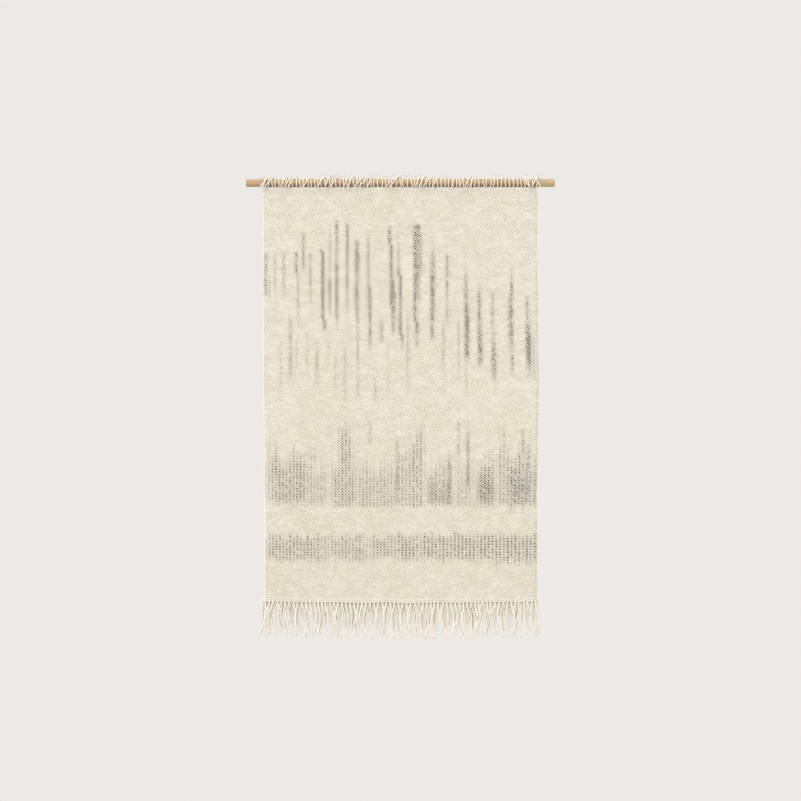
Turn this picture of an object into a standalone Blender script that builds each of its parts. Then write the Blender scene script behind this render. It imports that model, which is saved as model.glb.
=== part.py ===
"""Woven tapestry wall hanging on a round wooden rod.

Metres, +Z up. The origin is the middle of the rod's axis. X runs along the rod, -Y is the front,
and +Y is the wall side. The warp ends loop round the rod at the top and hang as a knotted fringe
at the bottom.
"""

import math

import bmesh
import bpy
from mathutils import Matrix, Vector

# Driving dimensions.
ROD_DIAMETER = 0.020
ROD_OVERHANG = 0.0425  # bare rod past each side of the cloth
ROD_CHAMFER = 0.0006
ROD_SIDES = 64

CLOTH_WIDTH = 0.700
WEAVE_LENGTH = 1.045  # from the pick that holds the loops down to the border cord
CLOTH_THICKNESS = 0.005
SELVEDGE_DIAMETER = 0.005
SELVEDGE_END_SHARE = 0.4  # of its diameter, rounded off at its ends
BORDER_DIAMETER = 0.005  # the twined cord across the bottom of the weave
CORD_SIDES = 12
EDGE_SEGMENTS = 3

WARP_PAIR_PITCH = 0.0093
YARN = 0.003  # a pair of warps, as it loops round the rod or hangs in the fringe
LOOP_STEPS = 9

FRINGE_LENGTH = 0.093  # from the border cord to the tips
FRINGE_SECTIONS = 14
KNOT_HEIGHT = 0.003
TASSEL_STEPS = 3
TASSEL_TIP_SHARE = 0.8  # of the yarn's width at the tassel's root

LOOSE_YARN = 0.0024
LOOSE_DROP = 0.014  # how far a loose end hangs below the rod's axis
LOOSE_START = math.radians(-70)  # round the rod from its top; the front is positive
LOOSE_POINTS = 8  # round the rod

GAP = 0.0003  # clearance between pieces that touch

# Loose warp ends laid over the front of the rod: where each crosses the top of the rod, as a
# share of the cloth's width from the left, and how many pitches of the warp it leans to the
# right from there down.
LOOSE_ENDS = (
    (0.027, -2.7),
    (0.040, -2.4),
    (0.086, -1.6),
    (0.104, -1.7),
    (0.173, -1.9),
    (0.224, -1.9),
    (0.274, -2.1),
    (0.314, -1.5),
    (0.369, -2.7),
    (0.401, -1.6),
    (0.486, -2.8),
    (0.573, -1.4),
    (0.616, -2.5),
    (0.641, -1.9),
    (0.700, -1.1),
    (0.733, -1.4),
    (0.769, -1.3),
    (0.820, -3.0),
    (0.879, -2.5),
    (0.933, 2.5),
    (0.983, 1.9),
)

# Sizes that follow from them.
ROD_RADIUS = ROD_DIAMETER / 2
ROD_LENGTH = CLOTH_WIDTH + 2 * ROD_OVERHANG
PAIRS = round(CLOTH_WIDTH / WARP_PAIR_PITCH)
PITCH = CLOTH_WIDTH / PAIRS

# A loop is a chain of straight facets, so its corners stand off for its flats to clear the rod.
LOOP_INNER = (ROD_RADIUS + GAP) / math.cos(math.pi / LOOP_STEPS)
LOOP_OUTER = LOOP_INNER + YARN
LOOSE_STEP = (math.radians(90) - LOOSE_START) / (LOOSE_POINTS - 1)
LOOSE_RADIUS = (LOOP_OUTER + GAP + LOOSE_YARN / 2) / math.cos(LOOSE_STEP / 2)

CLOTH_HALF = CLOTH_THICKNESS / 2
WEAVE_TOP = -LOOP_OUTER - GAP
WEAVE_BOTTOM = WEAVE_TOP - WEAVE_LENGTH
WEAVE_MIDDLE = (WEAVE_TOP + WEAVE_BOTTOM) / 2
WEB_WIDTH = CLOTH_WIDTH - 2 * (SELVEDGE_DIAMETER + GAP)
BORDER_Z = WEAVE_BOTTOM - GAP - BORDER_DIAMETER / 2
KNOT_DROP = BORDER_DIAMETER / 2 + GAP + KNOT_HEIGHT / 2  # from the border cord's axis
CLOTH_SWING = (0.0, 0.0, WEAVE_TOP - CLOTH_HALF)  # the cloth turns about X here
FRINGE_SWING = (0.0, 0.0, BORDER_Z)  # and the fringe, round the border cord, here

MATERIALS = {
    "rod_wood": ((0.62, 0.45, 0.26, 1.0), 0.55),
    "woven_wool": ((0.80, 0.74, 0.62, 1.0), 0.95),
    "warp_yarn": ((0.86, 0.81, 0.71, 1.0), 0.92),
    "edge_yarn": ((0.86, 0.80, 0.69, 1.0), 0.92),
}


def clear_scene():
    for obj in list(bpy.data.objects):
        bpy.data.objects.remove(obj)


def make_collection(name):
    collection = bpy.data.collections.new(name)
    bpy.context.scene.collection.children.link(collection)
    return collection


def make_materials():
    made = {}
    for name, (colour, roughness) in MATERIALS.items():
        material = bpy.data.materials.new(name)
        material.use_nodes = True
        shader = material.node_tree.nodes["Principled BSDF"]
        shader.inputs["Base Color"].default_value = colour
        shader.inputs["Roughness"].default_value = roughness
        shader.inputs["Metallic"].default_value = 0.0
        made[name] = material
    return made


def add_object(name, data, material, collection, location=(0.0, 0.0, 0.0)):
    obj = bpy.data.objects.new(name, data)
    obj.location = location
    data.materials.append(material)
    collection.objects.link(obj)
    return obj


def mesh_from(name, shape):
    mesh = bpy.data.meshes.new(name)
    shape.to_mesh(mesh)
    shape.free()
    return mesh


def shade_round(obj):
    obj.data.shade_smooth()
    obj.data.set_sharp_from_angle(angle=math.radians(40))


def add_bevel(obj, width, segments):
    bevel = obj.modifiers.new("rounded_edges", "BEVEL")
    bevel.width = width
    bevel.segments = segments
    bevel.limit_method = "ANGLE"
    bevel.angle_limit = math.radians(60)


def round_bar(name, diameter, length, sides):
    """The mesh of a closed round bar along Z."""
    shape = bmesh.new()
    bmesh.ops.create_cone(
        shape,
        cap_ends=True,
        segments=sides,
        radius1=diameter / 2,
        radius2=diameter / 2,
        depth=length,
    )
    return mesh_from(name, shape)


def row_bar(shape, count, height):
    """A bar along X, centred on the origin, for a row of yarns. It is cut across on both sides of
    each yarn, and ends a little short, to clear the next row."""
    space = PITCH - YARN
    steps = [(space - GAP) / 2] + [YARN, space] * (count - 1) + [YARN, (space - GAP) / 2]
    bmesh.ops.create_cube(shape, size=1.0)
    bmesh.ops.scale(shape, vec=(steps[0], YARN, height), verts=shape.verts)
    bmesh.ops.translate(shape, vec=((steps[0] - sum(steps)) / 2, 0, 0), verts=shape.verts)
    end = max(shape.faces, key=lambda face: face.calc_center_median().x)
    for step in steps[1:]:
        end = extrude_face(shape, end)
        bmesh.ops.translate(shape, vec=(step, 0, 0), verts=end.verts)


def extrude_face(shape, face):
    return bmesh.ops.extrude_discrete_faces(shape, faces=[face])["faces"][0]


def yarn_faces(shape, direction):
    """The faces of a row bar that its yarns leave by, on the side that looks in direction."""
    shape.normal_update()
    facing = [face for face in shape.faces if face.normal.dot(direction) > 0.9]
    facing.sort(key=lambda face: face.calc_center_median().x)
    return facing[1::2]


def warp_loops():
    """The pick under the rod, and a loop for each pair of warps, which leaves the pick at the
    front, goes over the rod and comes down to the pick's back."""
    shape = bmesh.new()
    row_bar(shape, PAIRS, YARN)
    bmesh.ops.translate(shape, vec=(0, 0, -LOOP_INNER - YARN / 2), verts=shape.verts)
    open_turn = 2 * math.atan(YARN / 2 / LOOP_INNER) + GAP / LOOP_INNER
    step = Matrix.Rotation(-(math.tau - open_turn) / LOOP_STEPS, 3, "X")
    for face in yarn_faces(shape, Vector((0, -1, 0))):
        for _ in range(LOOP_STEPS):
            face = extrude_face(shape, face)
            bmesh.ops.rotate(shape, verts=face.verts, cent=(0, 0, 0), matrix=step)
    return mesh_from("warp_loops", shape)


def fringe_section(name, count):
    """A row of knots under the border cord's axis, with a tassel under each."""
    shape = bmesh.new()
    row_bar(shape, count, KNOT_HEIGHT)
    bmesh.ops.translate(shape, vec=(0, 0, -KNOT_DROP), verts=shape.verts)
    drop = Vector((0, 0, -(FRINGE_LENGTH - KNOT_HEIGHT) / TASSEL_STEPS))
    shrink = TASSEL_TIP_SHARE ** (1 / TASSEL_STEPS)
    for face in yarn_faces(shape, Vector((0, 0, -1))):
        for _ in range(TASSEL_STEPS):
            face = extrude_face(shape, face)
            bmesh.ops.translate(shape, vec=drop, verts=face.verts)
            bmesh.ops.scale(
                shape,
                vec=(shrink, 1.0, 1.0),
                space=Matrix.Translation(-face.calc_center_median()),
                verts=face.verts,
            )
    return mesh_from(name, shape)


def loose_end(name, x_top, lean):
    """A warp end that isn't tied in: over the rod from behind, and down its front."""
    route = []
    for i in range(LOOSE_POINTS):
        angle = LOOSE_START + i * LOOSE_STEP
        route.append((-LOOSE_RADIUS * math.sin(angle), LOOSE_RADIUS * math.cos(angle)))
    route.append((-LOOSE_RADIUS, -LOOSE_DROP))
    lengths = [0.0]
    for here, there in zip(route, route[1:]):
        lengths.append(lengths[-1] + math.dist(here, there))
    behind = -LOOSE_START / LOOSE_STEP * lengths[1]

    curve = bpy.data.curves.new(name, "CURVE")
    curve.dimensions = "3D"
    curve.bevel_depth = LOOSE_YARN / 2
    curve.bevel_resolution = 1
    curve.use_fill_caps = True
    spline = curve.splines.new("POLY")
    spline.points.add(len(route) - 1)
    for point, (y, z), length in zip(spline.points, route, lengths):
        slant = (length - behind) / (lengths[-1] - behind)
        point.co = (x_top + lean * slant, y, z, 1.0)
    return curve


def add_rod(material, collection):
    bar = round_bar("rod", ROD_DIAMETER, ROD_LENGTH, ROD_SIDES)
    rod = add_object("rod", bar, material, collection)
    rod.rotation_euler.y = math.pi / 2
    add_bevel(rod, ROD_CHAMFER, 1)
    shade_round(rod)


def add_warp_loops(material, collection):
    add_object("warp_loops", warp_loops(), material, collection)


def add_loose_ends(material, collection):
    for number, (share, lean) in enumerate(LOOSE_ENDS, 1):
        name = f"loose_end_{number:02d}"
        curve = loose_end(name, (share - 0.5) * CLOTH_WIDTH, lean * PITCH)
        add_object(name, curve, material, collection)


def add_web(material, collection):
    shape = bmesh.new()
    bmesh.ops.create_cube(shape, size=1.0)
    bmesh.ops.scale(shape, vec=(WEB_WIDTH, CLOTH_THICKNESS, WEAVE_LENGTH), verts=shape.verts)
    web = add_object(
        "woven_web", mesh_from("woven_web", shape), material, collection, (0, 0, WEAVE_MIDDLE)
    )
    add_bevel(web, (CLOTH_THICKNESS - GAP) / 2, EDGE_SEGMENTS)
    return web


def add_selvedges(material, collection):
    """The doubled warps at the sides, with rounded ends so that they turn with the web."""
    selvedges = []
    for side, name in ((-1, "left_selvedge"), (1, "right_selvedge")):
        bar = round_bar(name, SELVEDGE_DIAMETER, WEAVE_LENGTH - 2 * GAP, CORD_SIDES)
        x = side * (CLOTH_WIDTH - SELVEDGE_DIAMETER) / 2
        selvedge = add_object(name, bar, material, collection, (x, 0, WEAVE_MIDDLE))
        add_bevel(selvedge, SELVEDGE_DIAMETER * SELVEDGE_END_SHARE, EDGE_SEGMENTS)
        shade_round(selvedge)
        selvedges.append(selvedge)
    return selvedges


def add_border_cord(material, collection):
    bar = round_bar("border_cord", BORDER_DIAMETER, CLOTH_WIDTH, CORD_SIDES)
    cord = add_object("border_cord", bar, material, collection, (0, 0, BORDER_Z))
    cord.rotation_euler.y = math.pi / 2
    shade_round(cord)
    return cord


def add_fringe(material, collection):
    """The knotted fringe, in side-by-side sections that share out the pairs of warps."""
    starts = [round(i * PAIRS / FRINGE_SECTIONS) for i in range(FRINGE_SECTIONS + 1)]
    sections = []
    for number, (first, last) in enumerate(zip(starts, starts[1:]), 1):
        name = f"fringe_{number:02d}"
        place = Vector(FRINGE_SWING) + Vector((((first + last - PAIRS) / 2) * PITCH, 0, 0))
        section = fringe_section(name, last - first)
        sections.append(add_object(name, section, material, collection, place))
    return sections


def add_swing(name, location, pieces, collection):
    """An empty on the line that the pieces turn about, as their parent."""
    swing = bpy.data.objects.new(name, None)
    swing.location = location
    collection.objects.link(swing)
    for piece in pieces:
        piece.parent = swing
        piece.matrix_parent_inverse = Matrix.Translation(location).inverted()
    return swing


def main():
    clear_scene()
    collection = make_collection("tapestry_wall_hanging")
    materials = make_materials()
    add_rod(materials["rod_wood"], collection)
    add_warp_loops(materials["warp_yarn"], collection)
    add_loose_ends(materials["warp_yarn"], collection)
    fringe = add_fringe(materials["warp_yarn"], collection)
    fringe_swing = add_swing("fringe_swing", FRINGE_SWING, fringe, collection)
    cloth = [
        add_web(materials["woven_wool"], collection),
        *add_selvedges(materials["edge_yarn"], collection),
        add_border_cord(materials["edge_yarn"], collection),
        fringe_swing,
    ]
    add_swing("cloth_swing", CLOTH_SWING, cloth, collection)


main()
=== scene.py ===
import math
import random

import bpy
import numpy as np
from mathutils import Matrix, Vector


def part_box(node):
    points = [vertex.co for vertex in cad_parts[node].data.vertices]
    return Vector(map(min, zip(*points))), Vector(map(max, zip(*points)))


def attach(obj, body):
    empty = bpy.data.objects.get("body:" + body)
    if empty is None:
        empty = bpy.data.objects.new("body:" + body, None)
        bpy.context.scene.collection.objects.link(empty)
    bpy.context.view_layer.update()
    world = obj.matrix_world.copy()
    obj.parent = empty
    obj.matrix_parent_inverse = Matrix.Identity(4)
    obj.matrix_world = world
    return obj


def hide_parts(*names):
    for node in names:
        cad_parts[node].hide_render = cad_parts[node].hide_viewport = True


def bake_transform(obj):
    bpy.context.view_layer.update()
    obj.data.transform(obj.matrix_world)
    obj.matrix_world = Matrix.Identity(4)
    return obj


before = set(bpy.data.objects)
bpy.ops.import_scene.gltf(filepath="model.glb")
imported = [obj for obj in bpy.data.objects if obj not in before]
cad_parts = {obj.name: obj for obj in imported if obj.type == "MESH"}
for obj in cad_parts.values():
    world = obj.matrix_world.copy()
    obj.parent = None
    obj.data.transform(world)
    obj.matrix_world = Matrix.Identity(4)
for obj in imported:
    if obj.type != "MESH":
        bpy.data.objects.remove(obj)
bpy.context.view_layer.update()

# Places read from the frame, in metres.
ROD_LOW, ROD_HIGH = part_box("rod")
ROD_RADIUS = (ROD_HIGH.z - ROD_LOW.z) / 2
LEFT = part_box("left_selvedge")[0].x
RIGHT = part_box("right_selvedge")[1].x
WIDTH = RIGHT - LEFT
BORDER_LOW, BORDER_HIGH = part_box("border_cord")
BORDER_Z = (BORDER_LOW.z + BORDER_HIGH.z) / 2
BORDER_RADIUS = (BORDER_HIGH.z - BORDER_LOW.z) / 2
FRINGE_NODES = sorted(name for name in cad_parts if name.startswith("fringe_"))
FRINGE_FULL = BORDER_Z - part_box(FRINGE_NODES[0])[0].z
LOOSE_NODES = sorted(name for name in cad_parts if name.startswith("loose_end_"))

# The weave, also in metres.
WARPS = 150
PAIRS = WARPS // 2
PICKS = 312
CLOTH_TOP = -ROD_RADIUS - 0.0003
CLOTH_BOTTOM = BORDER_Z + BORDER_RADIUS * 0.3
CLOTH_LENGTH = CLOTH_TOP - CLOTH_BOTTOM
CLOTH_HALF = 0.0019  # half its thickness, up to the middle of a crossing
WEFT_PROUD = 0.0006  # how far the weft stands in front of the warp at a crossing
EDGE_INSET = 0.0024  # the cloth's own edge, inside its selvedge
BACK_ROW_PICKS = 4  # picks to each row of points on the back
PICK_WANDER = 0.0011  # how far a pick wanders up and down on its way across
UNEVEN_PICK = 0.00045  # and how far each crossing is out of place, down, across and in thickness
UNEVEN_WARP = 0.00040
UNEVEN_THICK = 0.00016

# The yarns, by their radius.
LOOP_YARN = 0.00145
TASSEL_YARN = 0.0016
BORDER_YARN = 0.0016
EDGE_YARN = 0.0016
EDGE_BEAD = 0.0007  # how far its beads stand out from it
LOOSE_NODE_YARN = 0.0012  # in the frame; the loose yarns made here vary
BORDER_TWIST = 0.0011  # from the border cord's middle to that of each of its yarns
KNOT_PITCH = 0.0103

# The warp stands closer on the left of the cloth than on the right.
ACROSS = np.arange(WARPS) / WARPS
SETTING = 1 + 0.04 * np.tanh((ACROSS - 0.55) / 0.12)
SETTING *= 1 + 0.01 * np.sin(ACROSS * 13 + 0.4)
WARP_PLACES = (np.cumsum(SETTING) - SETTING / 2) / SETTING.sum()

# Colours of the yarns, the dye and the wood.
UNDYED = (0.745, 0.705, 0.625)
# The warp's yarn in the weave's hollows, darkened with painted shade.
HOLLOW_SHADE = (0.60, 0.55, 0.46)
SLUB = (0.72, 0.655, 0.545)
RIPPLE = (0.86, 0.83, 0.77)
# Painted light, which lifts the shade on the cloth just under the rod and just above the border
# cord.
PAINTED_LIGHT = (0.93, 0.905, 0.85)
CHARCOAL = (0.012, 0.012, 0.010)  # the dye on the warp, and the haze it leaves on the weft
HAZE = (0.22, 0.21, 0.185)
COTTON = (0.92, 0.88, 0.80)
FLECK = (0.94, 0.91, 0.84)
# Painted shade in the groove between a yarn's two plies.
PLY_GROOVE_SHADE = (0.62, 0.53, 0.40)
# Painted tan shade deep in the knots and among the fibres behind the fringe's yarns; a small even
# share of it also darkens those yarns' own tone.
PAINTED_KNOT_SHADE = (0.38, 0.26, 0.13)
OAK = (0.52, 0.385, 0.215)
OAK_FIGURE = (0.42, 0.295, 0.15)
OAK_PALE = (0.57, 0.43, 0.255)
OAK_PORE = (0.30, 0.19, 0.09)
STUDIO = (0.838, 0.823, 0.791)

CM = 100  # in a metre
BLED_LEFT = 0.46  # shares of a streak's dye that the warps beside it take
BLED_RIGHT = 0.28
MISSED_SPOTS = 0.20  # the share of the crossings where the dye has hardly taken

# The weaver's plan for the single dyed streaks: cm from the left edge, lean in cm, how many warps
# wide, cm down the cloth where the streak starts, where it is full, where it begins to fade and
# where it ends, and how dark it is.
STREAKS = (
    (0.9, 0.0, 1, 16.0, 17.5, 27.0, 28.5, 0.60),
    (1.8, 0.0, 1, 22.0, 24.0, 28.0, 29.5, 0.40),
    (3.1, 0.0, 1, 16.0, 18.0, 25.0, 31.0, 0.40),
    (5.0, 0.0, 1, 16.0, 17.0, 24.0, 30.0, 0.55),
    (8.3, 0.3, 1, 16.0, 17.0, 21.0, 24.0, 0.85),
    (8.7, 0.1, 1, 21.0, 22.0, 32.0, 37.0, 0.45),
    (10.0, 0.0, 1, 10.5, 13.0, 19.0, 23.0, 0.65),
    (12.1, 0.0, 1, 16.0, 17.0, 24.0, 34.5, 0.65),
    (14.9, 0.6, 1, 14.8, 17.0, 35.0, 37.5, 0.95),
    (16.8, 0.0, 1, 9.0, 12.0, 20.0, 24.0, 0.40),
    (16.8, 0.0, 1, 22.0, 25.0, 31.0, 33.5, 0.75),
    (18.7, 0.1, 1, 7.6, 9.5, 31.0, 38.0, 0.90),
    (21.3, 0.0, 1, 8.4, 10.5, 27.0, 35.0, 0.80),
    (23.5, 0.1, 2, 12.5, 15.0, 31.0, 37.0, 0.75),
    (23.9, 0.1, 1, 30.0, 33.0, 50.0, 54.7, 0.50),
    (24.6, 0.0, 1, 15.5, 17.0, 19.0, 21.0, 0.40),
    (26.7, 0.3, 1, 11.5, 14.0, 28.0, 34.0, 0.65),
    (27.0, 0.3, 1, 24.0, 27.0, 38.0, 43.0, 0.80),
    (32.3, 0.9, 1, 9.2, 11.0, 34.0, 38.5, 1.00),
    (32.7, 0.6, 2, 20.0, 26.0, 31.0, 37.0, 0.80),
    (34.4, 1.0, 1, 10.4, 24.0, 40.0, 42.0, 0.90),
    (36.8, 0.0, 1, 30.0, 33.0, 46.0, 54.0, 0.40),
    (38.8, 0.3, 1, 9.0, 10.5, 38.0, 42.0, 1.00),
    (39.1, 0.0, 2, 9.0, 10.0, 19.0, 38.0, 0.75),
    (40.1, 0.0, 1, 10.4, 12.0, 20.0, 23.0, 0.60),
    (43.1, 0.0, 2, 11.5, 20.0, 26.0, 38.0, 0.70),
    (43.1, 0.0, 1, 17.0, 22.0, 36.0, 40.5, 0.90),
    (45.8, 0.0, 1, 32.0, 35.0, 48.0, 53.0, 0.40),
    (47.2, 0.0, 1, 16.8, 18.0, 30.0, 38.5, 0.65),
    (49.8, 0.0, 1, 32.0, 35.0, 46.0, 50.0, 0.35),
    (52.0, 0.0, 1, 19.6, 26.0, 43.0, 45.5, 0.95),
    (51.9, 0.0, 2, 26.0, 34.0, 42.0, 46.0, 0.80),
    (51.9, 0.0, 1, 45.0, 46.0, 50.0, 55.0, 0.30),
    (55.4, 0.0, 1, 23.0, 30.0, 44.0, 46.5, 0.95),
    (55.2, 0.0, 2, 32.0, 38.0, 44.0, 46.0, 0.70),
    (58.4, 0.0, 1, 25.5, 28.0, 34.0, 36.0, 0.60),
    (58.4, 0.1, 2, 35.0, 38.0, 46.0, 50.6, 0.75),
    (63.2, 0.0, 1, 19.0, 25.0, 46.0, 49.0, 0.80),
    (63.0, 0.1, 2, 23.0, 30.0, 39.0, 44.0, 0.70),
    (67.4, 0.0, 1, 27.0, 30.0, 36.0, 45.0, 0.70),
    (67.3, 0.1, 2, 32.0, 38.0, 43.0, 50.0, 0.90),
    (68.9, 0.0, 1, 37.0, 40.0, 46.0, 51.0, 0.50),
    (4.1, 0.0, 1, 38.0, 42.0, 49.0, 53.5, 0.35),
    (6.7, 0.0, 2, 30.0, 36.0, 46.0, 50.0, 0.40),
    (8.5, 0.0, 1, 38.0, 40.0, 44.0, 46.5, 0.35),
    (11.2, 0.0, 1, 34.0, 39.0, 45.0, 47.5, 0.35),
    (13.4, 0.0, 2, 38.0, 43.0, 48.0, 51.5, 0.35),
    (16.3, 0.0, 1, 38.0, 40.0, 44.0, 46.5, 0.30),
    (18.2, 0.0, 1, 41.0, 44.0, 50.0, 53.0, 0.30),
    (20.5, 0.0, 2, 39.0, 44.0, 52.0, 56.0, 0.35),
    (28.5, 0.0, 1, 48.0, 50.0, 54.0, 55.5, 0.50),
    (30.1, 0.0, 2, 33.0, 35.0, 38.0, 40.0, 0.40),
    (31.9, 0.0, 1, 38.0, 42.0, 50.0, 55.0, 0.25),
    (27.1, 0.0, 1, 59.0, 60.5, 64.5, 66.0, 0.60),
    (34.2, 0.0, 1, 62.0, 66.0, 80.0, 81.0, 0.55),
    (47.4, 0.0, 1, 66.0, 71.0, 80.0, 81.5, 0.80),
    (49.8, 0.0, 1, 59.0, 61.0, 66.0, 70.0, 0.50),
    (52.5, 0.0, 1, 60.5, 63.0, 74.0, 80.0, 0.70),
    (66.4, 0.0, 1, 60.0, 64.0, 76.0, 81.0, 0.60),
    (67.8, 0.0, 1, 64.0, 67.0, 79.0, 81.0, 0.60),
    (69.3, 0.0, 1, 68.0, 69.5, 73.0, 75.0, 0.50),
)

# The patches that make up the two bands of close streaks, on every other warp: cm from the left
# edge, half the width, then down the cloth and how dark as above, and the share of the dye that
# the warps between take.
PATCHES = (
    (6.0, 5.2, 65.0, 71.0, 79.3, 81.6, 0.90, 0.14),
    (13.0, 3.0, 66.5, 73.0, 79.8, 81.6, 0.60, 0.14),
    (20.9, 1.7, 58.5, 64.0, 75.8, 81.6, 0.75, 0.05),
    (20.5, 3.4, 66.0, 72.0, 80.8, 81.6, 0.75, 0.14),
    (29.0, 6.0, 67.0, 74.0, 81.1, 81.6, 0.65, 0.14),
    (36.0, 2.2, 65.0, 70.0, 80.8, 81.6, 0.65, 0.05),
    (39.3, 1.8, 61.0, 66.0, 81.1, 81.6, 0.80, 0.05),
    (45.0, 3.4, 68.0, 74.0, 80.3, 81.6, 0.75, 0.50),
    (51.5, 2.6, 68.0, 74.0, 81.1, 81.6, 0.45, 0.15),
    (57.0, 2.4, 67.0, 73.5, 79.0, 82.8, 0.90, 0.50),
    (61.5, 1.8, 62.0, 69.0, 79.8, 81.6, 0.65, 0.15),
    (65.2, 2.6, 65.5, 72.5, 79.5, 83.2, 0.95, 0.50),
    (69.0, 1.6, 70.0, 73.0, 80.8, 81.6, 0.60, 0.20),
    (8.0, 8.5, 88.0, 89.4, 93.6, 96.0, 0.93, 0.04),
    (21.5, 5.5, 87.8, 89.4, 93.5, 96.3, 0.83, 0.04),
    (30.5, 3.6, 88.2, 89.8, 93.2, 95.2, 0.73, 0.04),
    (37.0, 3.6, 87.8, 89.2, 93.4, 95.6, 0.93, 0.04),
    (44.0, 3.8, 87.8, 89.2, 93.4, 95.6, 0.93, 0.04),
    (51.0, 3.8, 87.6, 89.0, 93.4, 95.6, 0.98, 0.04),
    (58.0, 3.8, 87.8, 89.2, 93.6, 96.0, 0.98, 0.04),
    (65.5, 4.6, 87.8, 89.2, 94.0, 96.8, 1.00, 0.04),
)

# Loose warp ends that lie beside those with a place of their own: the number of that one, how
# far this one lies from it at the top of the rod, and how far it leans on its way down, in mm.
# The short ends stop on the front of the rod.
LOOSE_BESIDE = (
    (1, -3.0, -17), (4, 12.0, -20), (6, 15.0, -13), (8, 10.0, -14), (10, -5.5, -31),
    (11, 7.0, -23), (12, 10.0, -13), (16, 15.0, -15), (20, 9.0, 17), (21, 12.0, -16),
)
SHORT_ENDS = (18, 19)

# Materials.

class Nodes:
    """Short ways to add and link the nodes of one material."""

    def __init__(self, name):
        self.material = bpy.data.materials.new(name)
        self.material.use_nodes = True
        self.tree = self.material.node_tree
        self.shader = self.tree.nodes["Principled BSDF"]

    def add(self, kind, **settings):
        node = self.tree.nodes.new(kind)
        for key, value in settings.items():
            setattr(node, key, value)
        return node

    def put(self, socket, value):
        if hasattr(value, "is_output"):
            self.tree.links.new(value, socket)
        else:
            socket.default_value = value

    def math(self, operation, *values):
        node = self.add("ShaderNodeMath", operation=operation)
        for socket, value in zip(node.inputs, values):
            self.put(socket, value)
        return node.outputs[0]

    def spread(self, value, low, high, to_low=0.0, to_high=1.0):
        node = self.add("ShaderNodeMapRange", interpolation_type="SMOOTHSTEP")
        for socket, setting in zip(node.inputs, (value, low, high, to_low, to_high)):
            self.put(socket, setting)
        return node.outputs[0]

    def mix(self, share, first, second, blend_type="MIX"):
        node = self.add("ShaderNodeMix", data_type="RGBA", blend_type=blend_type)
        self.put(node.inputs["Factor"], share)
        self.put(node.inputs["A"], first)
        self.put(node.inputs["B"], second)
        return node.outputs["Result"]

    def noise(self, scale, stretch=(1, 1, 1), detail=2.0, bend=0.0):
        mapping = self.add("ShaderNodeMapping")
        mapping.inputs["Scale"].default_value = stretch
        self.put(mapping.inputs["Vector"], self.object_place())
        node = self.add("ShaderNodeTexNoise")
        node.inputs["Scale"].default_value = scale
        node.inputs["Detail"].default_value = detail
        node.inputs["Distortion"].default_value = bend
        self.put(node.inputs["Vector"], mapping.outputs[0])
        return node.outputs["Fac"]

    def object_place(self):
        return self.add("ShaderNodeTexCoord").outputs["Object"]

    def value_of(self, attribute):
        return self.add("ShaderNodeAttribute", attribute_name=attribute).outputs["Fac"]

    def map_of(self, name):
        split = self.add("ShaderNodeSeparateXYZ")
        self.put(split.inputs[0], self.add("ShaderNodeUVMap", uv_map=name).outputs[0])
        return split.outputs[0], split.outputs[1]

    def bump(self, height, distance, strength=1.0, under=None):
        node = self.add("ShaderNodeBump")
        node.inputs["Distance"].default_value = distance
        node.inputs["Strength"].default_value = strength
        self.put(node.inputs["Height"], height)
        if under is not None:
            self.put(node.inputs["Normal"], under)
        return node.outputs[0]


def colour(rgb, share=1.0):
    return (*(part * share for part in rgb), 1.0)


def handspun(nodes, base):
    """The undyed yarn's colour, a little lighter, darker and yellower from place to place."""
    slub = nodes.noise(60, (0.35, 1, 4), 3)
    fleck = nodes.noise(420, (1, 1, 1.3), 2)
    cloud = nodes.noise(9, (1, 1, 1.5), 2)
    shade = nodes.mix(nodes.spread(slub, 0.3, 0.7), colour(base), colour(base, 0.86))
    shade = nodes.mix(nodes.spread(fleck, 0.40, 0.66, 0.0, 0.9), shade, colour(FLECK))
    warm = colour((base[0] * 0.98, base[1] * 0.965, base[2] * 0.91))
    return nodes.mix(nodes.spread(cloud, 0.35, 0.7, 0.0, 0.5), shade, warm)


def undyed_weft(nodes, nub):
    """The weft's colour: it changes from nub to nub, with slubs, fine ripples and warm clouds."""
    slub = nodes.noise(45, (0.4, 1, 3), 2)
    cloud = nodes.noise(8, (1, 1, 1.5), 2)
    ripple = nodes.noise(210, (0.40, 1, 1.6), 0, 0.5)
    pale = nodes.mix(nub, colour(UNDYED, 0.96), colour(UNDYED, 1.05))
    pale = nodes.mix(nodes.spread(slub, 0.35, 0.7, 0.0, 0.25), pale, colour(SLUB))
    pale = nodes.mix(nodes.spread(ripple, 0.60, 0.36, 0.0, 0.8), pale, colour(RIPPLE))
    warm = nodes.mix(1.0, pale, colour((0.985, 0.968, 0.93)), "MULTIPLY")
    return nodes.mix(nodes.spread(cloud, 0.35, 0.65), pale, warm)


def shaded_warp(nodes, nub, weft):
    """The hollows where the warp lies on top: its yarn with painted shade, some nearly closed."""
    openness = nodes.noise(26, (1, 1, 1.6), 2, 0.5)
    hollow = nodes.mix(nub, colour(HOLLOW_SHADE, 0.94), colour(HOLLOW_SHADE, 1.10))
    return nodes.mix(nodes.spread(openness, 0.36, 0.62, 0.45, 0.95), weft, hollow)


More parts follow.
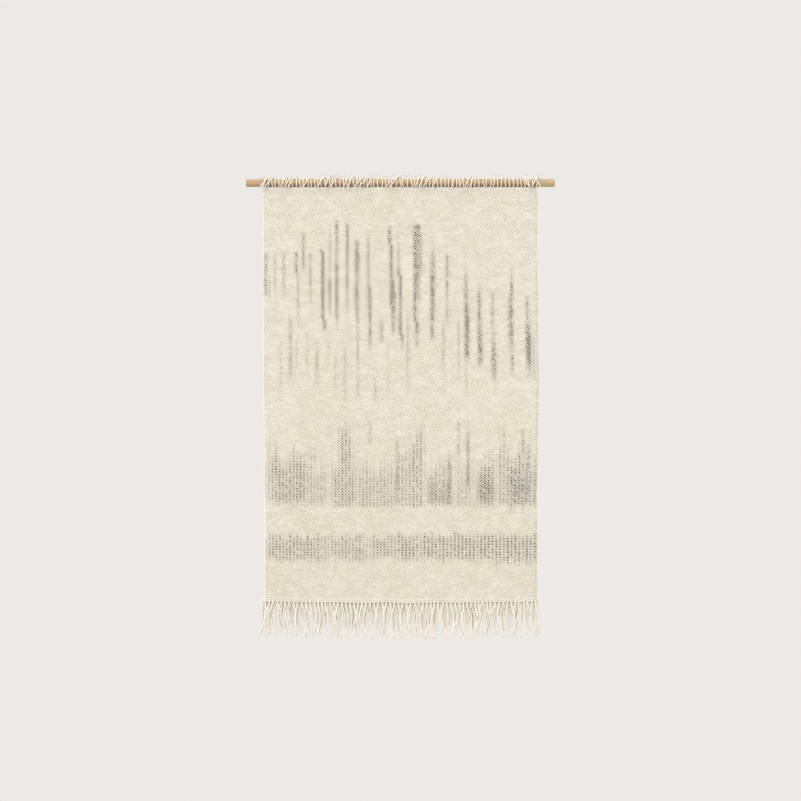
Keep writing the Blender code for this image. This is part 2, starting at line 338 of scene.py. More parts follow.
def weave_material():
    """Plain weave, one warp and one pick to each unit of the weave map. Where the warp lies on
    top the cloth is hollow and shows the warp's dye, darkened there with painted shade, and the
    weft stands proud of it."""
    nodes = Nodes("handspun_weave")
    across, down = nodes.map_of("weave")
    side = nodes.math("SINE", nodes.math("MULTIPLY", across, math.pi))
    over = nodes.math("SINE", nodes.math("MULTIPLY", down, math.pi))
    crossing = nodes.math("MULTIPLY", side, over)
    warp_shows = nodes.spread(crossing, 0.30, -0.30)

    dye = nodes.value_of("dye")
    haze = nodes.value_of("haze")
    nub = nodes.value_of("nub")
    pale = undyed_weft(nodes, nub)
    hollow = shaded_warp(nodes, nub, pale)
    # Painted shade: the cloth is made a little darker towards its foot, as the light falls from
    # above.
    low_down = nodes.spread(down, 0.3 * PICKS, PICKS)
    painted_foot_shade = nodes.mix(low_down, colour((0.985, 0.985, 0.985)), colour((0.935, 0.93, 0.92)))
    pale = nodes.mix(1.0, pale, painted_foot_shade, "MULTIPLY")
    # Painted light: the first picks under the rod and the last picks above the border cord are
    # lightened where shade falls on them.
    first_picks = nodes.spread(down, 3.0, 0.5, 0.0, 0.5)
    last_picks = nodes.spread(down, PICKS - 2.6, PICKS - 1.2, 0.0, 0.34)
    painted_light = nodes.math("MAXIMUM", first_picks, last_picks)
    pale = nodes.mix(painted_light, pale, colour(PAINTED_LIGHT))
    hollow = nodes.mix(painted_light, hollow, colour(PAINTED_LIGHT))
    on_warp = nodes.math("ADD", dye, nodes.math("MULTIPLY", haze, 0.25))
    on_weft = nodes.math("ADD", haze, nodes.math("MULTIPLY", dye, 0.21))
    warp_colour = nodes.mix(nodes.math("MINIMUM", on_warp, 0.97), hollow, colour(CHARCOAL))
    weft_colour = nodes.mix(nodes.math("MINIMUM", on_weft, 0.8), pale, colour(HAZE))
    nodes.put(nodes.shader.inputs["Base Color"], nodes.mix(warp_shows, weft_colour, warp_colour))

    weave = nodes.bump(crossing, 0.0008, 0.5)
    fuzz = nodes.noise(700, (1, 1, 1), 3)
    nodes.put(nodes.shader.inputs["Normal"], nodes.bump(fuzz, 0.0003, 0.25, weave))
    nodes.put(nodes.shader.inputs["Roughness"], nodes.spread(fuzz, 0.2, 0.8, 0.88, 1.0))
    nodes.shader.inputs["Specular IOR Level"].default_value = 0.15
    return nodes.material


def yarn_material():
    """Two-ply cotton, with the twist from the ply map, painted shade in the groove between the
    plies, and painted tan shade deep in the knots.
    """
    nodes = Nodes("plied_cotton")
    around, along = nodes.map_of("ply")
    turn = nodes.math("ADD", nodes.math("MULTIPLY", around, 2.0), along)
    twist = nodes.math("SINE", nodes.math("MULTIPLY", turn, math.tau))
    fuzz = nodes.noise(1300, (1, 1, 1), 3)
    base = handspun(nodes, COTTON)
    # Painted shade in the groove between the plies.
    groove_shade = nodes.spread(twist, -1.0, 0.2, 0.13, 0.0)
    shade = nodes.mix(groove_shade, base, colour(PLY_GROOVE_SHADE))
    # Painted tan shade from each point's deep value, in the knots and behind the fringe's yarns,
    # with a small even share that darkens their own tone.
    deep = nodes.mix(nodes.value_of("deep"), shade, colour(PAINTED_KNOT_SHADE))
    nodes.put(nodes.shader.inputs["Base Color"], deep)
    plies = nodes.bump(twist, 0.0003, 0.8)
    nodes.put(nodes.shader.inputs["Normal"], nodes.bump(fuzz, 0.0003, 0.6, plies))
    nodes.put(nodes.shader.inputs["Roughness"], nodes.spread(fuzz, 0.2, 0.8, 0.85, 1.0))
    nodes.shader.inputs["Sheen Weight"].default_value = 0.15
    nodes.shader.inputs["Specular IOR Level"].default_value = 0.25
    return nodes.material


def oak_material():
    """Pale oak, its grain along the rod, with painted shade where the yarn goes round it, browner
    low down.
    """
    nodes = Nodes("pale_oak")
    figure = nodes.noise(90, (0.06, 1, 1), 4)
    pores = nodes.noise(900, (0.02, 1, 1), 2)
    tone = nodes.noise(9, (1, 1, 1), 2)
    base = nodes.mix(nodes.spread(figure, 0.35, 0.65), colour(OAK), colour(OAK_FIGURE))
    base = nodes.mix(nodes.spread(tone, 0.35, 0.65, 0.0, 0.5), base, colour(OAK_PALE))
    wood = nodes.mix(nodes.spread(pores, 0.60, 0.72, 0.0, 0.55), base, colour(OAK_PORE))
    split = nodes.add("ShaderNodeSeparateXYZ")
    nodes.put(split.inputs[0], nodes.object_place())
    from_middle = nodes.math("ABSOLUTE", split.outputs[0])
    # Painted shade on the wood where the yarn goes round the rod, between the loops, deepest low
    # down under them.
    covered = nodes.spread(from_middle, WIDTH / 2 + 0.004, WIDTH / 2 - 0.006)
    low_down = nodes.spread(split.outputs[2], 0.002, -0.008)
    painted_rod_shade = nodes.mix(low_down, colour((0.98, 0.92, 0.82)), colour((0.56, 0.42, 0.25)))
    shaded_wood = nodes.mix(1.0, wood, painted_rod_shade, "MULTIPLY")
    nodes.put(nodes.shader.inputs["Base Color"], nodes.mix(covered, wood, shaded_wood))
    nodes.put(nodes.shader.inputs["Roughness"], nodes.spread(figure, 0.3, 0.7, 0.50, 0.66))
    grain = nodes.bump(figure, 0.0004, 0.5)
    nodes.put(nodes.shader.inputs["Normal"], nodes.bump(pores, 0.0003, 0.5, grain))
    return nodes.material


# The dye.

def streak_profile(down, start, full, fade, end):
    """How strong a streak is down the cloth: it grows from start to full, and goes from fade to
    end."""
    rise = np.clip((down - start) / max(full - start, 0.1), 0, 1)
    fall = np.clip((end - down) / max(end - fade, 0.1), 0, 1)
    return rise * rise * (3 - 2 * rise) * fall * fall * (3 - 2 * fall)


def dye_plan():
    """The dye on each warp and the haze over both yarns, one value for each warp and pick."""
    chance = np.random.default_rng(11)
    picks = np.arange(PICKS)
    down = (picks + 0.5) * CLOTH_LENGTH * CM / PICKS
    places = WARP_PLACES * WIDTH * CM
    dye = np.zeros((WARPS, PICKS))
    haze = np.zeros((WARPS, PICKS))
    for place, lean, wide, start, full, fade, end, dark in STREAKS:
        profile = streak_profile(down, start, full, fade, end) * dark
        path = place + lean * (down - start) / (end - start)
        near = np.abs(places[:, None] - path[None, :]).argmin(axis=0)
        uneven = np.convolve(chance.normal(0, 1, PICKS + 14), np.hanning(15), "valid")
        profile = profile * np.clip(0.95 + 0.08 * uneven, 0.5, 1.15)
        bled = [(-1, BLED_LEFT * dark), (wide, BLED_RIGHT * dark)]
        for k, share in bled + [(k, 1.0) for k in range(wide)]:
            warp = np.clip(near + k - (wide - 1) // 2, 0, WARPS - 1)
            taken = profile * share
            dye[warp, picks] = np.maximum(dye[warp, picks], taken)
            haze[warp, picks] = np.maximum(haze[warp, picks], taken * (0.03 + 0.05 * wide))
    for place, half, start, full, fade, end, dark, between in PATCHES:
        for warp in range(WARPS):
            off = abs(places[warp] - place) / half
            if off > 1.25:
                continue
            edge = 1 - np.clip((off - 0.7) / 0.55, 0, 1)
            shift = chance.normal(0, 0.2 + 0.2 * (full - start))
            drop = chance.normal(0, 0.12 + 0.25 * (end > 82))
            profile = streak_profile(down, start + shift, full + shift, fade, end + drop)
            own = dark * edge * chance.uniform(0.80, 1.08)
            core = streak_profile(down, full - 3, full + 3, fade - 1.5, end)
            share = core * edge * between if warp % 2 else 1.0
            dye[warp] = np.maximum(dye[warp], profile * own * share)
            haze[warp] = np.maximum(haze[warp], core * dark * edge * (0.03 + 0.26 * between))
    missed = chance.uniform(0, 1, dye.shape) < MISSED_SPOTS
    dye *= np.where(missed, 0.35, chance.uniform(0.85, 1.25, dye.shape))
    haze *= chance.uniform(0.6, 1.3, haze.shape)
    return np.clip(dye, 0, 1), np.clip(haze, 0, 1)


# Meshes.

def add_piece(name, points, faces, material):
    mesh = bpy.data.meshes.new(name)
    mesh.from_pydata([tuple(p) for p in points], [], faces)
    mesh.materials.append(material)
    mesh.shade_smooth()
    piece = bpy.data.objects.new(name, mesh)
    bpy.context.scene.collection.objects.link(piece)
    return piece


def side_bulge(z):
    """How far the cloth's two sides stand out from straight, as the weave pulls in and out."""
    down = (CLOTH_TOP - z) / CLOTH_LENGTH
    right = 0.0045 * np.exp(-((down - 0.44) / 0.17) ** 2) + 0.0008 * np.sin(down * 31)
    right -= 0.0045 * np.exp(-down / 0.012)
    left = 0.0016 * np.sin(down * 5.5 + 0.6) + 0.0006 * np.sin(down * 27 + 1)
    left -= 0.0008 + 0.0030 * down ** 4 + 0.0020 * np.exp(-down / 0.010)
    return left, right


def cloth_wave(x, z):
    """The slow waves of the hanging cloth, in front of and behind its flat plane."""
    down = (CLOTH_TOP - z) / CLOTH_LENGTH
    wave = 0.0012 * np.sin(x * 11 + 1.3 * down) * np.sin(math.pi * np.clip(down, 0, 1)) ** 0.7
    wave = wave + 0.0006 * np.sin(x * 29 + down * 9) * np.clip(down * 3, 0, 1)
    return wave - 0.0026 * np.exp(-np.clip(down, 0, 1) / 0.02)


def cloth_sag(x):
    """How far the foot of the cloth hangs below a straight line."""
    share = np.clip((x - LEFT) / WIDTH, 0, 1)
    return 0.0040 * np.sin(math.pi * share) ** 0.8 + 0.0006 * np.sin(x * 47)


def beat_up(chance):
    """How far each warp's crossings lie from a straight pick: soft waves that wander down it."""
    steps = chance.normal(0, 1, (PICKS + 60, WARPS + 24))
    across = np.hanning(25)
    along = np.hanning(61)
    steps = np.apply_along_axis(lambda line: np.convolve(line, across, "valid"), 1, steps)
    steps = np.apply_along_axis(lambda line: np.convolve(line, along, "valid"), 0, steps)
    return steps / steps.std()


def make_web(material):
    """The woven cloth: a front skin with a point at each crossing, a back skin with a row of
    points for every fourth pick, and a narrow wall between them all round."""
    chance = np.random.default_rng(5)
    pick_share = (np.arange(PICKS) + 0.5) / PICKS
    levels = CLOTH_TOP - pick_share * CLOTH_LENGTH
    levels[0] = CLOTH_TOP
    levels[-1] = CLOTH_BOTTOM
    z = np.repeat(levels[:, None], WARPS, axis=1)
    left, right = side_bulge(z)
    places = WARP_PLACES.copy()
    places[0] = 0
    places[-1] = 1
    x = LEFT + EDGE_INSET + (WIDTH - 2 * EDGE_INSET) * places
    x = x + right * places ** 6 - left * (1 - places) ** 6
    inside = np.ones((PICKS, WARPS))
    inside[0] = inside[-1] = 0
    wander = beat_up(chance) * PICK_WANDER * np.sin(math.pi * pick_share)[:, None]
    foot = cloth_sag(x) * pick_share[:, None] ** 3
    weft_up = (np.arange(PICKS)[:, None] + np.arange(WARPS)[None, :] + 1) % 2
    thick = CLOTH_HALF + (weft_up - 0.5) * WEFT_PROUD * inside
    thick = thick + chance.normal(0, UNEVEN_THICK, z.shape)
    middle = cloth_wave(x, z)
    z = z + wander - foot + chance.normal(0, UNEVEN_PICK, z.shape) * inside
    x = x + chance.normal(0, UNEVEN_WARP, z.shape) * inside
    front = np.stack([x, middle - thick, z], axis=-1)
    back_rows = sorted({*range(0, PICKS, BACK_ROW_PICKS), PICKS - 1})
    back = np.stack([x, middle + CLOTH_HALF, z], axis=-1)[back_rows]
    points = np.concatenate([front.reshape(-1, 3), back.reshape(-1, 3)])
    crossings = [(pick, warp) for pick in range(PICKS) for warp in range(WARPS)]
    crossings += [(pick, warp) for pick in back_rows for warp in range(WARPS)]
    crossings = np.array(crossings)

    half = PICKS * WARPS
    faces = []
    for pick in range(PICKS - 1):
        for warp in range(WARPS - 1):
            a = pick * WARPS + warp
            faces.append((a, a + WARPS, a + WARPS + 1, a + 1))
    front_faces = len(faces)
    for row in range(len(back_rows) - 1):
        for warp in range(WARPS - 1):
            a = half + row * WARPS + warp
            faces.append((a, a + 1, a + WARPS + 1, a + WARPS))
    back_faces = len(faces) - front_faces
    for warp in range(WARPS - 1):
        faces.append((warp, warp + 1, half + warp + 1, half + warp))
        a = (PICKS - 1) * WARPS + warp
        b = half + (len(back_rows) - 1) * WARPS + warp
        faces.append((a + 1, a, b, b + 1))
    for row, (above, below) in enumerate(zip(back_rows, back_rows[1:])):
        for warp in (0, WARPS - 1):
            edge = [pick * WARPS + warp for pick in range(above, below + 1)]
            a = half + row * WARPS + warp
            face = (*edge, a + WARPS, a)
            faces.append(tuple(reversed(face)) if warp == 0 else face)
    web = add_piece("web", points, faces, material)

    dye, haze = dye_plan()
    nub = np.clip(chance.normal(0.5, 0.38, dye.shape), 0, 1)
    for name, plan in (("dye", dye), ("haze", haze), ("nub", nub)):
        values = plan[crossings[:, 1], crossings[:, 0]].astype(np.float32)
        web.data.attributes.new(name, "FLOAT", "POINT").data.foreach_set("value", values)
    corner = np.zeros(len(web.data.loops), dtype=np.int32)
    web.data.loops.foreach_get("vertex_index", corner)
    places = crossings[corner][:, ::-1] + 0.5
    weave = web.data.uv_layers.new(name="weave")
    weave.data.foreach_set("uv", places.astype(np.float32).ravel())
    halves = np.zeros(len(corner))
    halves[4 * front_faces:] = 1
    margin = 0.003
    u = places[:, 0] / WARPS * (0.5 - 2 * margin) + halves * 0.5 + margin
    v = 1 - places[:, 1] / PICKS
    rim = 4 * (front_faces + back_faces)
    u[rim:] = 0.5 - margin / 2
    bake = web.data.uv_layers.new(name="OFBake")
    bake.data.foreach_set("uv", np.stack([u, v], axis=-1).astype(np.float32).ravel())
    return web


def tube(path, radii, sides):
    """Rings of points round a path, and the length along it at each ring."""
    path = np.asarray(path, float)
    run = np.gradient(path, axis=0)
    run /= np.linalg.norm(run, axis=1)[:, None]
    side = np.cross(run[0], (0.3, 1.0, 0.2))
    angles = np.arange(sides) * math.tau / sides
    rings = []
    for centre, along, radius in zip(path, run, radii):
        side = side - along * np.dot(side, along)
        side /= np.linalg.norm(side)
        other = np.cross(along, side)
        around = np.cos(angles)[:, None] * side + np.sin(angles)[:, None] * other
        rings.append(centre + radius * around)
    lengths = np.concatenate([[0], np.cumsum(np.linalg.norm(np.diff(path, axis=0), axis=1))])
    return np.array(rings), lengths


def make_yarns(name, strands, material, sides=6, ply=0.006):
    """One piece of many closed yarns. A strand is its path, its radius at each point, and how
    much painted shade each point carries, if any. The ply map runs once round the yarn, and one
    unit along it for each turn of its twist."""
    points = []
    faces = []
    maps = []
    painted_shade_values = []
    for path, radii, *shaded in strands:
        painted_shade_values.extend(np.repeat(shaded[0] if shaded else [0.0] * len(path), sides))
        rings, lengths = tube(path, radii, sides)
        start = len(points)
        points.extend(rings.reshape(-1, 3))
        along = lengths / ply
        for i in range(len(rings) - 1):
            for k in range(sides):
                a = start + i * sides + k
                b = start + i * sides + (k + 1) % sides
                faces.append((a, b, b + sides, a + sides))
                u = k / sides
                v = (k + 1) / sides
                maps.extend(((u, along[i]), (v, along[i]), (v, along[i + 1]), (u, along[i + 1])))
        faces.append(tuple(start + k for k in reversed(range(sides))))
        maps.extend((k / sides, along[0]) for k in reversed(range(sides)))
        last = start + (len(rings) - 1) * sides
        faces.append(tuple(last + k for k in range(sides)))
        maps.extend((k / sides, along[-1]) for k in range(sides))
    piece = add_piece(name, points, faces, material)
    layer = piece.data.uv_layers.new(name="ply")
    layer.data.foreach_set("uv", np.array(maps, dtype=np.float32).ravel())
    # Each point's painted shade, which the yarn material reads; on the fringe a small even share of
    # it darkens the yarn's own tone.
    deep = piece.data.attributes.new("deep", "FLOAT", "POINT")
    deep.data.foreach_set("value", np.array(painted_shade_values, dtype=np.float32))
    return piece


def smooth_path(points, steps):
    """A smooth curve through the points, read at even steps."""
    points = np.asarray(points, float)
    padded = np.concatenate([2 * points[:1] - points[1:2], points, 2 * points[-1:] - points[-2:-1]])
    out = []
    for t in np.linspace(0, len(points) - 1 - 1e-9, steps):
        i = int(t)
        f = t - i
        a, b, c, d = padded[i:i + 4]
        bend = (2 * a - 5 * b + 4 * c - d) * f ** 2
        twist = (3 * b - a - 3 * c + d) * f ** 3
        out.append(0.5 * (2 * b + (c - a) * f + bend + twist))
    return np.array(out)


def make_edges(material):
    """The selvedges: the weft's turns round the outermost warps, one bead for every two picks."""
    edges = []
    chance = random.Random(3)
    for name, side in (("left_edge", -1), ("right_edge", 1)):
        levels = np.linspace(CLOTH_TOP - 0.0005, CLOTH_BOTTOM, PICKS * 2 + 1)
        left, right = side_bulge(levels)
        out = right if side > 0 else left
        place = (RIGHT if side > 0 else LEFT) + side * (out - 0.0021)
        radii = []
        path = []
        lump = 0.0
        for i, (x, z) in enumerate(zip(place, levels)):
            if i % 20 == 0:
                lump = chance.choice((0.0, 0.0, 0.0003, 0.0006))
            bead = 0.5 - 0.5 * math.cos(i * math.tau / 4)
            radii.append(EDGE_YARN + EDGE_BEAD * bead + lump * 0.5)
            foot = float(cloth_sag(x)) * (i / (2 * PICKS)) ** 3
            path.append((x + side * lump * 0.5, float(cloth_wave(x, z)), z - foot))
        radii[0] = radii[-1] = 0.0010
        edge = make_yarns(name, [(path, radii)], material, 8)
        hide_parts("left_selvedge" if side < 0 else "right_selvedge")
        edges.append(edge)
    return edges


def make_border(material):
    """The twined cord: two yarns that turn round each other, half a turn for each pair of warps."""
    steps = PAIRS * 8
    strands = []
    for phase in (0, math.pi):
        path = []
        for i in range(steps + 1):
            x = LEFT - 0.0005 + (WIDTH + 0.001) * i / steps
            turn = phase + i / 8 * math.pi
            y = BORDER_TWIST * math.cos(turn) - 0.0001
            z = BORDER_Z + BORDER_TWIST * math.sin(turn) - float(cloth_sag(x))
            path.append((x, y + float(cloth_wave(x, BORDER_Z)), z))
        radii = [BORDER_YARN] * len(path)
        radii[0] = radii[-1] = BORDER_YARN / 2
        strands.append((path, radii))
    border = make_yarns("twined_border", strands, material, 8)
    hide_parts("border_cord")
    return border


def fringe_fan(x):
    """How far the tassels near the cloth's two corners fan out past them."""
    from_left = (x - LEFT) / WIDTH
    to_right = 0.017 * max(0, 1 - (1 - from_left) / 0.06) ** 1.2
    to_left = 0.022 * max(0, 1 - from_left / 0.06) ** 1.2
    return to_right - to_left


def tassel_yarns(x, y, z, drift, chance):
    """The two yarns of one knot, which hang together in one slow curl, some with a frayed tip."""
    strands = []
    curl = chance.uniform(0.0034, 0.0074) * chance.choice((-1, 1))
    waves = chance.uniform(2.8, 4.8)
    parted = chance.random() < 0.25
    apart = chance.uniform(0.0020, 0.0050) if parted else chance.uniform(0.0002, 0.0010)
    steps = 18
    for side in (-1, 1):
        length = FRINGE_FULL * chance.uniform(0.86, 0.99)
        lean = drift + side * apart * 0.5 + chance.gauss(0, 0.0011)
        own_curl = curl + chance.gauss(0, 0.0003)
        own_waves = waves + chance.gauss(0, 0.12)
        depth = chance.uniform(0.0004, 0.0022)
        path = []
        radii = []
        painted_shades = []
        for i in range(steps + 1):
            t = i / steps
            wave = own_curl * math.sin(own_waves * t) * min(1, t * 3)
            beside = side * (0.0009 + apart * 0.5 * math.sin(min(1, t * 2) * math.pi / 2))
            ahead = depth * math.sin(min(1, t * 1.8) * math.pi / 2)
            path.append((x + beside + lean * t ** 0.9 + wave, y - ahead - 0.0016, z - length * t))
            radii.append(TASSEL_YARN * (1 - 0.40 * max(0, (t - 0.82) / 0.18) ** 2))
            # A small even darkening of the yarn's own tone, and painted shade at the knot.
            painted_shades.append(0.04 + 0.15 * max(0, 1 - t / 0.07))
        radii[0] *= 0.6
        strands.append((path, radii, painted_shades))
        if chance.random() < 0.25:
            end = Vector(path[-2])
            splay = chance.choice((-1, 1)) * chance.uniform(0.001, 0.0035)
            half_way = end + Vector((splay * 0.5, 0, -0.004))
            frayed = [end, half_way, end + Vector((splay, 0, -0.0075))]
            strands.append((frayed, [0.0008, 0.0007, 0.0004], [0.0] * 3))
    return strands


def tassel_fibres(x, y, z, drift, chance):
    """The fine fibres behind a knot's yarns, which fill the gap beside it and end part way down."""
    strands = []
    fibres = 7
    radii = [0.0010, 0.0010, 0.0009, 0.0008, 0.0006, 0.0005, 0.0003]
    for k in range(fibres):
        root = ((k + 0.5) / fibres - 0.5) * KNOT_PITCH
        length = FRINGE_FULL * chance.uniform(0.50, 0.92)
        lean = drift * 0.6 + chance.gauss(0, 0.0020)
        sway = chance.gauss(0, 0.0008)
        path = []
        painted_shades = []
        for i in range(len(radii)):
            t = i / (len(radii) - 1)
            across = x + root + lean * t + sway * math.sin(t * 5)
            path.append((across, y + 0.0008 + 0.0008 * (k % 2), z - length * t))
            # A small even darkening of the fibres' own tone, and painted shade, deepest at the knot
            # and fading part way down.
            painted_shades.append(0.07 + 0.30 * max(0, 1 - t / 0.6) + 0.30 * max(0, 1 - t / 0.14))
        strands.append((path, radii, painted_shades))
    return strands


def fringe_strands(x, chance):
    y_root = float(cloth_wave(x, BORDER_Z))
    z_root = BORDER_Z - float(cloth_sag(x)) - 0.0006
    drift = fringe_fan(x) + chance.gauss(0, 0.0050)
    strands = tassel_yarns(x, y_root, z_root, drift, chance)
    return strands + tassel_fibres(x, y_root, z_root, drift, chance)


def make_fringe(material):
    """One piece for each group of knots in the frame. The knots are evenly spaced over the whole
    foot of the cloth, so a group reaches half way to the groups beside it."""
    chance = random.Random(21)
    boxes = [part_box(node) for node in FRINGE_NODES]
    between = [(left[1].x + right[0].x) / 2 for left, right in zip(boxes, boxes[1:])]
    ends = [LEFT + EDGE_INSET / 2, *between, RIGHT - EDGE_INSET / 2]
    span = ends[-1] - ends[0]
    knots = round(span / KNOT_PITCH)
    places = [ends[0] + (k + 0.5) * span / knots for k in range(knots)]
    fringe = []
    for node, start, end in zip(FRINGE_NODES, ends, ends[1:]):
        strands = []
        for place in places:
            if start <= place < end:
                strands += fringe_strands(place + chance.gauss(0, 0.0007), chance)
        name = node.replace("fringe_", "fringe_yarns_")
        piece = make_yarns(name, strands, material, 6)
        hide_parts(node)
        fringe.append(piece)
    return fringe


def make_loops(material):
    """Each pair of warps goes round the rod as one yarn, from the cloth's front to its back."""
    chance = random.Random(8)
    strands = []
    reach = ROD_RADIUS + LOOP_YARN + 0.00015
    leaves_rod = 137  # degrees from the top of the rod, on both sides
    for pair in range(PAIRS):
        middle = LEFT + WIDTH * (WARP_PLACES[2 * pair] + WARP_PLACES[2 * pair + 1]) / 2
        middle += chance.gauss(0, 0.0007)
        lean = chance.gauss(-0.0010, 0.0019)
        bow = chance.gauss(0, 0.0010)
        points = [(middle, -0.0024, -0.0150)]
        for i in range(13):
            t = i / 12
            turn = math.radians(leaves_rod * (2 * t - 1))
            across = lean * (2 * t - 0.6) + bow * math.sin(t * math.tau * 1.5)
            points.append((middle + across, reach * math.sin(turn), reach * math.cos(turn)))
        points.append((points[-1][0], 0.0008, -0.0150))
        path = smooth_path(points, 34)
        strands.append((path, [LOOP_YARN * chance.uniform(0.92, 1.08) for _ in path]))
    loops = make_yarns("loops_over_rod", strands, material, 7)
    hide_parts("warp_loops")
    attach(loops, "loops")
    return loops


def loose_path(x_top, lean, reach, last_turn, drop):
    """Over the rod from behind and down its front on a slant. The yarn leaves the rod half way
    down its front and hangs off it to the drop, unless its last turn is before that."""
    points = []
    turns = 9
    for i in range(turns):
        turn = math.radians(-75 + (last_turn + 75) * i / (turns - 1))
        down = turn * reach
        slant = down / (math.pi / 2 * reach + drop) if drop else turn / math.radians(last_turn)
        away = reach + 0.0004 * math.sin(i * 1.7 + x_top * 90)
        points.append((x_top + lean * slant, -away * math.sin(turn), away * math.cos(turn)))
    if drop:
        points.append((x_top + lean * 0.93, -reach, -drop * 0.55))
        points.append((x_top + lean, 0.0008 - reach, -drop))
    return smooth_path(points, 26)


def loose_yarn(x_top, lean, reach, chance, short=False):
    drop = 0.0 if short else chance.uniform(0.0120, 0.0160)
    path = loose_path(x_top, lean, reach, 62 if short else 90, drop)
    thick = chance.uniform(0.00135, 0.0016)
    return path, [thick] * (len(path) - 3) + [thick * 0.9, thick * 0.75, thick * 0.45]


def make_loose_ends(material):
    """One piece for each loose end's place in the frame, with any that lie close beside it."""
    chance = random.Random(17)
    reach = ROD_RADIUS + 0.0041
    front_share = 0.67  # of the lean lies in front of the top of the rod
    for number, node in enumerate(LOOSE_NODES, 1):
        low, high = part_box(node)
        foot = min(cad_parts[node].data.vertices, key=lambda point: point.co.z).co.x
        lean = (high.x - low.x - 2 * LOOSE_NODE_YARN) * front_share
        x_top = low.x + LOOSE_NODE_YARN + lean
        if foot < (low.x + high.x) / 2:
            lean = -lean
        else:
            x_top = high.x - LOOSE_NODE_YARN - lean
        strands = [loose_yarn(x_top, lean, reach, chance, number in SHORT_ENDS)]
        for beside, offset, other_lean in LOOSE_BESIDE:
            if beside == number:
                place = x_top + offset / 1000
                strands.append(loose_yarn(place, other_lean / 1000, reach + 0.0020, chance))
        name = node.replace("loose_end_", "loose_yarns_")
        piece = make_yarns(name, strands, material, 6)
        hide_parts(node)
        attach(piece, "loops")


def wisp(start, span, rise, deep, thick, chance):
    """A fine fibre that springs from the top of the rod and comes down to it again."""
    top = ROD_RADIUS + 0.0018
    kink = chance.uniform(-0.15, 0.15)
    points = [
        (start, deep - 0.002, top - 0.001),
        (start + span * 0.15, deep, top + rise * 0.65),
        (start + span * (0.4 + kink), deep * 0.8, top + rise),
        (start + span * (0.7 + kink), deep * 0.4, top + rise * chance.uniform(0.45, 0.8)),
        (start + span * 0.9, deep * 0.2, top + rise * chance.uniform(0.1, 0.4)),
        (start + span, deep - 0.002, top - 0.0008),
    ]
    path = smooth_path(points, 20)
    return path, [thick] * len(path)


def make_wisps(material):
    """Stray fibres on top of the rod: tufts along it, a few at its left, and two long ones that
    reach past the cloth at its right."""
    chance = random.Random(29)
    strands = []
    tufts = (
        0.24, 0.26, 0.29, 0.31, 0.34, 0.38, 0.43, 0.46, 0.49,
        0.53, 0.56, 0.60, 0.64, 0.69, 0.75, 0.81, 0.88, 0.95,
    )
    for share in tufts:
        for _ in range(3):
            start = LEFT + WIDTH * share + chance.gauss(0, 0.007)
            span = chance.uniform(0.012, 0.045) * chance.choice((-1, 1))
            rise = chance.uniform(0.002, 0.011)
            deep = chance.gauss(0, 0.003)
            thick = chance.uniform(0.00024, 0.00042)
            strands.append(wisp(start, span, rise, deep, thick, chance))
    for _ in range(6):
        start = LEFT + chance.gauss(0.002, 0.004)
        span = chance.uniform(0.006, 0.016) * chance.choice((-1, 1))
        rise = chance.uniform(0.003, 0.008)
        strands.append(wisp(start, span, rise, -0.002, 0.0006, chance))
    top = ROD_RADIUS + 0.0014
    for rise, reach in ((0.0115, 0.034), (0.0090, 0.012)):
        points = [
            (RIGHT - 0.016, -0.006, top),
            (RIGHT - 0.009, -0.004, top + rise * 0.75),
            (RIGHT + 0.001, -0.002, top + rise),
            (RIGHT + reach * 0.55, -0.002, top + rise * 0.55),
            (RIGHT + reach, -0.004, top - 0.0005),
        ]
        path = smooth_path(points, 24)
        strands.append((path, [0.0005] * 19 + [0.0008, 0.0011, 0.0011, 0.0009, 0.0005]))
    wisps = make_yarns("wisps", strands, material, 5)
    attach(wisps, "loops")


# Setting.

def make_camera():
    """Square to the hanging and nearly level with its middle."""
    view_height = 2.0385
    data = bpy.data.cameras.new("camera")
    data.lens = 90
    data.sensor_width = 36
    camera = bpy.data.objects.new("camera", data)
    distance = view_height * data.lens / data.sensor_width
    camera.location = (0.0002, -distance, -0.5535)
    camera.rotation_euler = (math.pi / 2, 0, 0)
    bpy.context.scene.collection.objects.link(camera)
    bpy.context.scene.camera = camera


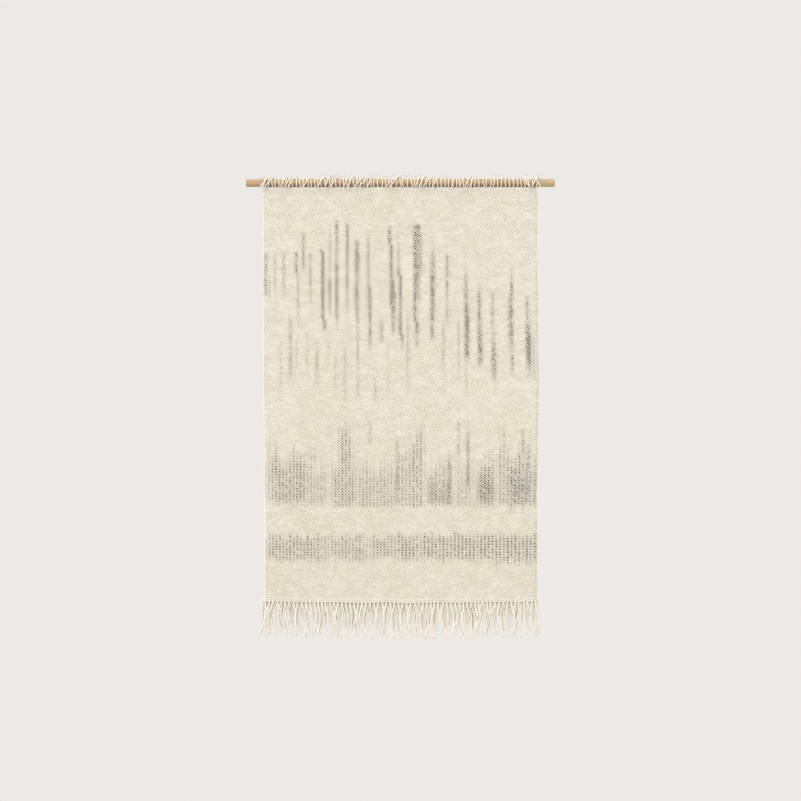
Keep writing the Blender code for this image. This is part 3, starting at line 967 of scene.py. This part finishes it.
def make_stage():
    """A low pale floor. The pale backdrop is the studio's own even light."""
    bpy.ops.object.select_all(action="DESELECT")
    bpy.ops.mesh.primitive_plane_add(size=8, location=(0, -3.2, -1.75))
    floor = bpy.context.object
    floor.name = "floor"
    nodes = Nodes("floor_paint")
    nodes.shader.inputs["Base Color"].default_value = colour((0.60, 0.59, 0.57))
    nodes.shader.inputs["Roughness"].default_value = 1.0
    nodes.shader.inputs["Specular IOR Level"].default_value = 0.0
    floor.data.materials.append(nodes.material)


def make_light():
    """An even pale studio, brighter overhead and dimmer below, and a soft window high up on the
    left."""
    world = bpy.data.worlds.new("studio")
    bpy.context.scene.world = world
    world.use_nodes = True
    tree = world.node_tree
    split = tree.nodes.new("ShaderNodeSeparateXYZ")
    tree.links.new(tree.nodes.new("ShaderNodeTexCoord").outputs["Generated"], split.inputs[0])
    height = tree.nodes.new("ShaderNodeMapRange")
    height.inputs["From Min"].default_value = -1.0
    tree.links.new(split.outputs[2], height.inputs["Value"])
    ramp = tree.nodes.new("ShaderNodeValToRGB")
    tree.links.new(height.outputs[0], ramp.inputs[0])
    tree.links.new(ramp.outputs[0], tree.nodes["Background"].inputs["Color"])
    for place, level in ((0.10, 0.80), (0.18, 1.0), (0.64, 1.0), (0.80, 1.55)):
        stop = ramp.color_ramp.elements.new(place)
        stop.color = colour(STUDIO, level)
    ramp.color_ramp.elements.remove(ramp.color_ramp.elements[0])
    ramp.color_ramp.elements.remove(ramp.color_ramp.elements[-1])
    data = bpy.data.lights.new("window", "SUN")
    data.angle = math.radians(25)
    data.energy = 1.0
    light = bpy.data.objects.new("window", data)
    light.rotation_euler = Vector((0.5, 1.0, -0.75)).to_track_quat("-Z", "Y").to_euler()
    bpy.context.scene.collection.objects.link(light)
    bpy.context.scene.view_settings.view_transform = "Standard"


def make_hanging():
    """The rod keeps its own mesh, and every soft piece is made here. The border rides with the
    cloth body, and the loops, loose ends and wisps with the loops body; the web, its edges and the
    fringe have their placement applied to their meshes."""
    yarn = yarn_material()
    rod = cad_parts["rod"]
    rod.material_slots[0].material = oak_material()

    web = make_web(weave_material())
    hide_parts("woven_web")
    edges = make_edges(yarn)
    border = make_border(yarn)
    fringe = make_fringe(yarn)
    make_loops(yarn)
    make_loose_ends(yarn)
    make_wisps(yarn)

    for piece in [web, *edges]:
        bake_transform(piece)
    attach(border, "cloth")
    for piece in fringe:
        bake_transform(piece)


make_camera()
make_stage()
make_light()
make_hanging()
